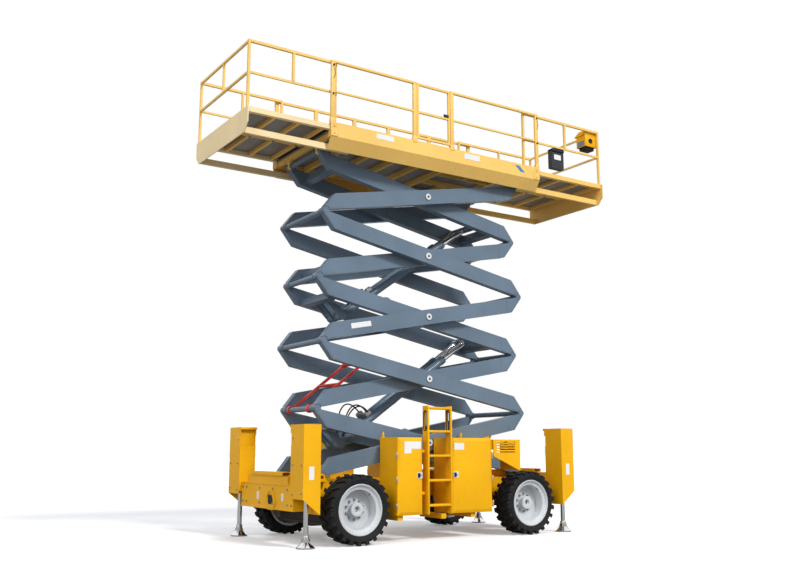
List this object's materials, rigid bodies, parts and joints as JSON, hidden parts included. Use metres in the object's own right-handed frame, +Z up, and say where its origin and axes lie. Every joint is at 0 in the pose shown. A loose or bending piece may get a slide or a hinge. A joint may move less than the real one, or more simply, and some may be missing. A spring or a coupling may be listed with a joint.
{
  "type": "rough-terrain scissor lift",
  "caption": "Four-wheel rough-terrain scissor lift with stacked cross arms, lift cylinders, outriggers and a railed platform whose end decks slide out.",
  "frame": {"origin": "on the ground under the middle of the machine's bounding box, lift part raised and both decks run out", "axes": "+X along the machine towards the steered wheels, +Y towards the side away from the ladder, +Z up"},
  "size_m": [6.4, 2.286, 6.4809],
  "materials": {
    "yellow_paint": "satin",
    "arm_grey": "satin",
    "deck_grey": "satin",
    "rim_grey": "satin",
    "tyre_black": "matte",
    "rod_chrome": "polished",
    "prop_red": "satin",
    "engine_dark": "matte",
    "panel_dark": "matte"
  },
  "bodies": {
    "chassis": {"chassis_frame": "yellow_paint", "axle_rear": "yellow_paint", "axle_front": "panel_dark", "outrigger_beam_rear": "yellow_paint", "outrigger_beam_front": "yellow_paint", "outrigger_housings": "yellow_paint", "cabinets_near": "yellow_paint", "cabinets_far": "yellow_paint", "ladder": "yellow_paint", "louvre_covers": "yellow_paint", "engine": "engine_dark"},
    "wheel_rear_near": {"tyre_rear_near": "tyre_black", "rim_rear_near": "rim_grey"},
    "wheel_rear_far": {"tyre_rear_far": "tyre_black", "rim_rear_far": "rim_grey"},
    "wheel_front_near": {"tyre_front_near": "tyre_black", "rim_front_near": "rim_grey"},
    "wheel_front_far": {"tyre_front_far": "tyre_black", "rim_front_far": "rim_grey"},
    "knuckle_near": {"knuckle_near": "panel_dark"},
    "knuckle_far": {"knuckle_far": "panel_dark"},
    "door_near_left": {"door_near_left": "yellow_paint"},
    "door_near_right": {"door_near_right": "yellow_paint"},
    "door_far_left": {"door_far_left": "yellow_paint"},
    "door_far_right": {"door_far_right": "yellow_paint"},
    "jack_rear_near": {"jack_rear_near": "rod_chrome"},
    "jack_rear_far": {"jack_rear_far": "rod_chrome"},
    "jack_front_near": {"jack_front_near": "rod_chrome"},
    "jack_front_far": {"jack_front_far": "rod_chrome"},
    "outer_arms_1": {"outer_frame_1": "arm_grey"},
    "inner_arms_1": {"inner_frame_1": "arm_grey"},
    "outer_arms_2": {"outer_frame_2": "arm_grey"},
    "inner_arms_2": {"inner_frame_2": "arm_grey"},
    "outer_arms_3": {"outer_frame_3": "arm_grey"},
    "inner_arms_3": {"inner_frame_3": "arm_grey"},
    "outer_arms_4": {"outer_frame_4": "arm_grey"},
    "inner_arms_4": {"inner_frame_4": "arm_grey"},
    "outer_arms_5": {"outer_frame_5": "arm_grey"},
    "inner_arms_5": {"inner_frame_5": "arm_grey"},
    "platform": {"deck_frame": "yellow_paint", "deck_floor": "deck_grey", "guard_rail_near": "yellow_paint", "guard_rail_far": "yellow_paint"},
    "lower_barrels": {"lower_cylinder_barrels": "arm_grey"},
    "lower_rods": {"lower_cylinder_rods": "rod_chrome"},
    "upper_barrels": {"upper_cylinder_barrels": "arm_grey"},
    "upper_rods": {"upper_cylinder_rods": "rod_chrome"},
    "safety_prop": {"safety_prop": "prop_red"},
    "gate": {"gate": "yellow_paint"},
    "extension_left": {"extension_left_frame": "yellow_paint", "extension_left_deck": "deck_grey", "extension_left_guard": "yellow_paint"},
    "extension_right": {"extension_right_frame": "yellow_paint", "extension_right_deck": "deck_grey", "extension_right_guard": "yellow_paint", "control_box": "panel_dark", "document_box": "panel_dark"}
  },
  "joints": [
    {"name": "steer_near", "type": "hinge", "parent": "chassis", "child": "knuckle_near", "pos_m": [1.2355, -0.84, 0.4425], "axis": [0, 0, 1], "range_deg": [-30, 30]},
    {"name": "steer_far", "type": "hinge", "parent": "chassis", "child": "knuckle_far", "pos_m": [1.2355, 0.84, 0.4425], "axis": [0, 0, 1], "range_deg": [-30, 30]},
    {"name": "roll_rear_near", "type": "hinge", "parent": "chassis", "child": "wheel_rear_near", "pos_m": [-1.6045, -0.98, 0.4425], "axis": [0, 1, 0], "continuous": true},
    {"name": "roll_rear_far", "type": "hinge", "parent": "chassis", "child": "wheel_rear_far", "pos_m": [-1.6045, 0.98, 0.4425], "axis": [0, 1, 0], "continuous": true},
    {"name": "roll_front_near", "type": "hinge", "parent": "knuckle_near", "child": "wheel_front_near", "pos_m": [1.2355, -0.98, 0.4425], "axis": [0, 1, 0], "continuous": true},
    {"name": "roll_front_far", "type": "hinge", "parent": "knuckle_far", "child": "wheel_front_far", "pos_m": [1.2355, 0.98, 0.4425], "axis": [0, 1, 0], "continuous": true},
    {"name": "door_swing_near_left", "type": "hinge", "parent": "chassis", "child": "door_near_left", "pos_m": [-1.048, -1.112, 0.805], "axis": [0, 0, -1], "range_deg": [0, 100]},
    {"name": "door_swing_near_right", "type": "hinge", "parent": "chassis", "child": "door_near_right", "pos_m": [0.556, -1.112, 0.805], "axis": [0, 0, 1], "range_deg": [0, 100]},
    {"name": "door_swing_far_left", "type": "hinge", "parent": "chassis", "child": "door_far_left", "pos_m": [-1.048, 1.112, 0.805], "axis": [0, 0, 1], "range_deg": [0, 100]},
    {"name": "door_swing_far_right", "type": "hinge", "parent": "chassis", "child": "door_far_right", "pos_m": [0.556, 1.112, 0.805], "axis": [0, 0, -1], "range_deg": [0, 100]},
    {"name": "extend_jack_rear_near", "type": "slide", "parent": "chassis", "child": "jack_rear_near", "axis": [0, 0, -1], "range_m": [-0.3, 0.15]},
    {"name": "extend_jack_rear_far", "type": "slide", "parent": "chassis", "child": "jack_rear_far", "axis": [0, 0, -1], "range_m": [-0.3, 0.15]},
    {"name": "extend_jack_front_near", "type": "slide", "parent": "chassis", "child": "jack_front_near", "axis": [0, 0, -1], "range_m": [-0.3, 0.15]},
    {"name": "extend_jack_front_far", "type": "slide", "parent": "chassis", "child": "jack_front_far", "axis": [0, 0, -1], "range_m": [-0.3, 0.15]},
    {"name": "lift", "type": "hinge", "parent": "chassis", "child": "outer_arms_1", "pos_m": [-1.906, 0, 0.839], "axis": [0, -1, 0], "range_deg": [-10.5, 43.3]},
    {"name": "cross_1", "type": "hinge", "parent": "outer_arms_1", "child": "inner_arms_1", "pos_m": [-0.20192, 0, 1.2851], "axis": [0, -1, 0], "range_deg": [-86.61, 21.01]},
    {"name": "right_end_1", "type": "hinge", "parent": "outer_arms_1", "child": "outer_arms_2", "pos_m": [1.50215, 0, 1.73121], "axis": [0, -1, 0], "range_deg": [-86.61, 21.01]},
    {"name": "cross_2", "type": "hinge", "parent": "outer_arms_2", "child": "inner_arms_2", "pos_m": [-0.20192, 0, 2.17731], "axis": [0, -1, 0], "range_deg": [-21.01, 86.61]},
    {"name": "left_end_2", "type": "hinge", "parent": "outer_arms_2", "child": "outer_arms_3", "pos_m": [-1.906, 0, 2.62341], "axis": [0, -1, 0], "range_deg": [-21.01, 86.61]},
    {"name": "cross_3", "type": "hinge", "parent": "outer_arms_3", "child": "inner_arms_3", "pos_m": [-0.20192, 0, 3.06951], "axis": [0, -1, 0], "range_deg": [-86.61, 21.01]},
    {"name": "right_end_3", "type": "hinge", "parent": "outer_arms_3", "child": "outer_arms_4", "pos_m": [1.50215, 0, 3.51561], "axis": [0, -1, 0], "range_deg": [-86.61, 21.01]},
    {"name": "cross_4", "type": "hinge", "parent": "outer_arms_4", "child": "inner_arms_4", "pos_m": [-0.20192, 0, 3.96172], "axis": [0, -1, 0], "range_deg": [-21.01, 86.61]},
    {"name": "left_end_4", "type": "hinge", "parent": "outer_arms_4", "child": "outer_arms_5", "pos_m": [-1.906, 0, 4.40782], "axis": [0, -1, 0], "range_deg": [-21.01, 86.61]},
    {"name": "cross_5", "type": "hinge", "parent": "outer_arms_5", "child": "inner_arms_5", "pos_m": [-0.20192, 0, 4.85392], "axis": [0, -1, 0], "range_deg": [-86.61, 21.01]},
    {"name": "platform_pivot", "type": "hinge", "parent": "inner_arms_5", "child": "platform", "pos_m": [-1.906, 0, 5.30002], "axis": [0, -1, 0], "range_deg": [-10.51, 43.31]},
    {"name": "lower_cylinder_pivot", "type": "hinge", "parent": "inner_arms_1", "child": "lower_barrels", "pos_m": [-1.34992, 0, 1.26971], "axis": [0, -1, 0], "range_deg": [-20.03, 82.58]},
    {"name": "lower_cylinder_stroke", "type": "slide", "parent": "lower_barrels", "child": "lower_rods", "axis": [0.8175, 0, 0.5759], "range_m": [-0.3849, 1.5871]},
    {"name": "upper_cylinder_pivot", "type": "hinge", "parent": "inner_arms_3", "child": "upper_barrels", "pos_m": [-1.34992, 0, 3.05412], "axis": [0, -1, 0], "range_deg": [-20.8, 85.74]},
    {"name": "upper_cylinder_stroke", "type": "slide", "parent": "upper_barrels", "child": "upper_rods", "axis": [0.8175, 0, 0.5759], "range_m": [-0.3923, 1.6174]},
    {"name": "prop_swing", "type": "hinge", "parent": "inner_arms_2", "child": "safety_prop", "pos_m": [-1.906, 0, 1.73121], "axis": [0, -1, 0], "range_deg": [-22, 30]},
    {"name": "gate_swing", "type": "hinge", "parent": "platform", "child": "gate", "pos_m": [-0.557, -0.852, 6], "axis": [0, 0, 1], "range_deg": [0, 90]},
    {"name": "slide_left_extension", "type": "slide", "parent": "platform", "child": "extension_left", "axis": [1, 0, 0], "range_m": [0, 1.15]},
    {"name": "slide_right_extension", "type": "slide", "parent": "platform", "child": "extension_right", "axis": [-1, 0, 0], "range_m": [0, 1.385]}
  ],
  "couplings": [
    {"joint": "steer_far", "follows": "steer_near", "ratio": 1},
    {"joint": "cross_1", "follows": "lift", "ratio": -2},
    {"joint": "right_end_1", "follows": "lift", "ratio": -2},
    {"joint": "cross_2", "follows": "lift", "ratio": 2},
    {"joint": "left_end_2", "follows": "lift", "ratio": 2},
    {"joint": "cross_3", "follows": "lift", "ratio": -2},
    {"joint": "right_end_3", "follows": "lift", "ratio": -2},
    {"joint": "cross_4", "follows": "lift", "ratio": 2},
    {"joint": "left_end_4", "follows": "lift", "ratio": 2},
    {"joint": "cross_5", "follows": "lift", "ratio": -2},
    {"joint": "platform_pivot", "follows": "lift", "ratio": 1},
    {"joint": "lower_cylinder_pivot", "follows": "lift", "ratio": 1.907},
    {"joint": "lower_cylinder_stroke", "follows": "lift", "m_per_rad": 2.1},
    {"joint": "upper_cylinder_pivot", "follows": "lift", "ratio": 1.98},
    {"joint": "upper_cylinder_stroke", "follows": "lift", "m_per_rad": 2.14}
  ]
}
